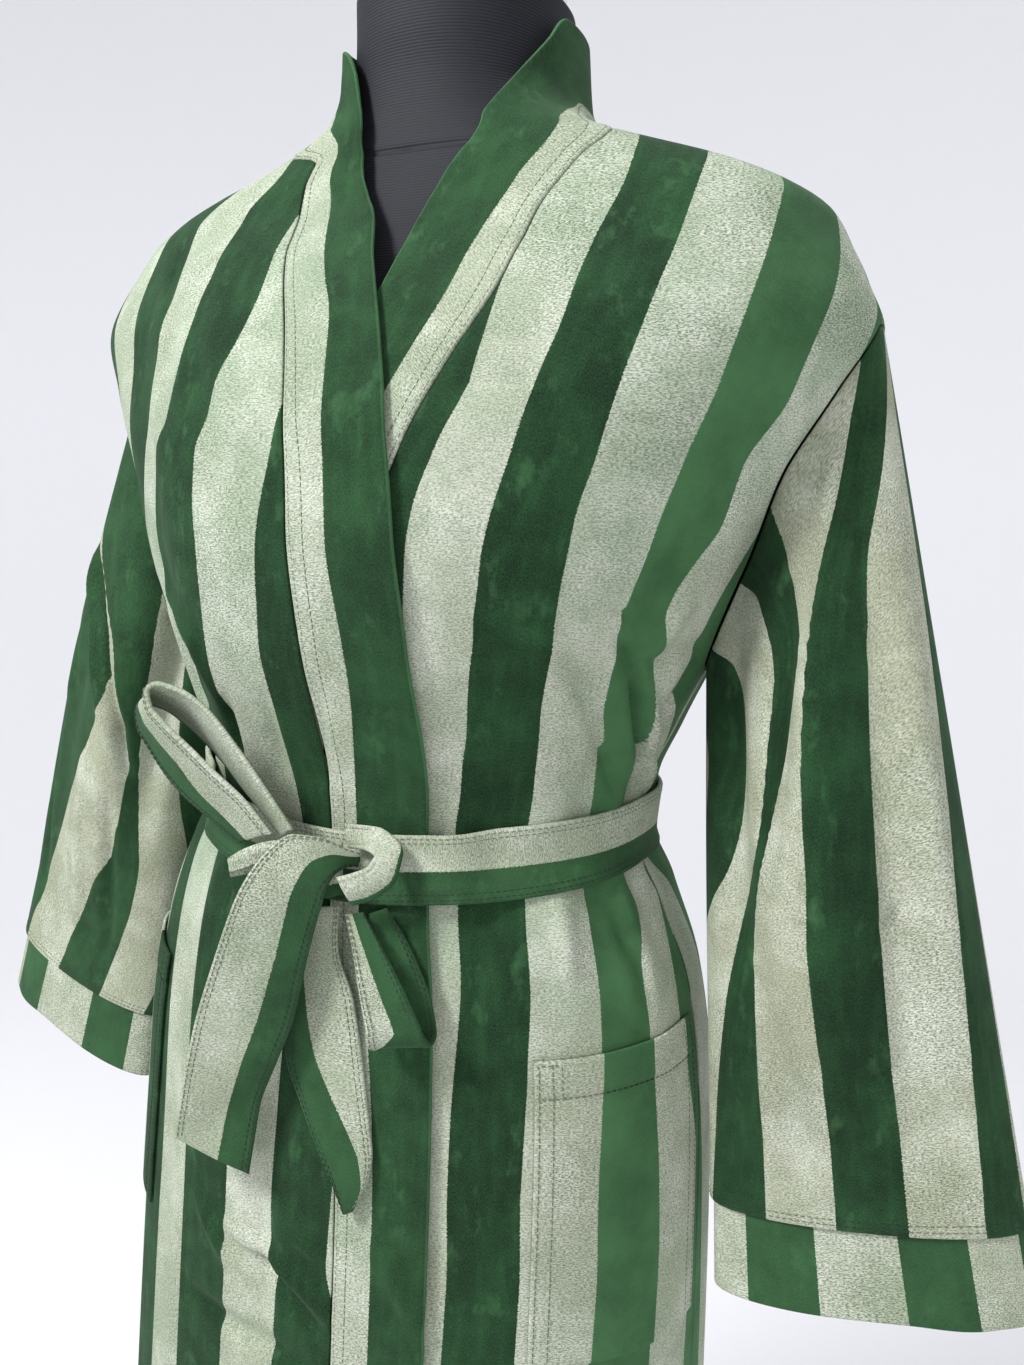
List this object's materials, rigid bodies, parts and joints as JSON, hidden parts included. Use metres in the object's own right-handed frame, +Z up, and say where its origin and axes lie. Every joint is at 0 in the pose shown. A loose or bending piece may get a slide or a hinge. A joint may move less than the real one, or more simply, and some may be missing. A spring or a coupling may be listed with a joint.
{
  "type": "kimono robe on a dress form",
  "caption": "Wide-sleeved velvet kimono robe, wrapped and tied with its own belt, hanging on a limbless dress form on a pole and round base.",
  "frame": {"origin": "middle of the stand's underside, on the floor", "axes": "+Z up; the robe faces -Y and +X is the wearer's left"},
  "size_m": [0.7576, 0.38, 1.526],
  "materials": {
    "velvet": "cotton velvet in wide dark green and grey-beige stripes, soft sheen",
    "form_cover": "matte black fine-ribbed cover",
    "chrome": "polished"
  },
  "bodies": {
    "root": {"dress_form": "form_cover", "neck_cap": "chrome", "pole": "chrome", "base": "chrome", "back": "velvet", "front_left": "velvet", "front_right": "velvet", "band_left": "velvet", "band_right": "velvet", "sleeve_left": "velvet", "sleeve_right": "velvet", "cuff_left": "velvet", "cuff_right": "velvet", "pocket_left": "velvet", "pocket_right": "velvet", "belt": "velvet", "knot_core": "velvet", "knot_wrap": "velvet", "knot_roll": "velvet", "loop_upper": "velvet", "loop_lower": "velvet", "tail_front": "velvet", "tail_back": "velvet"}
  },
  "joints": []
}
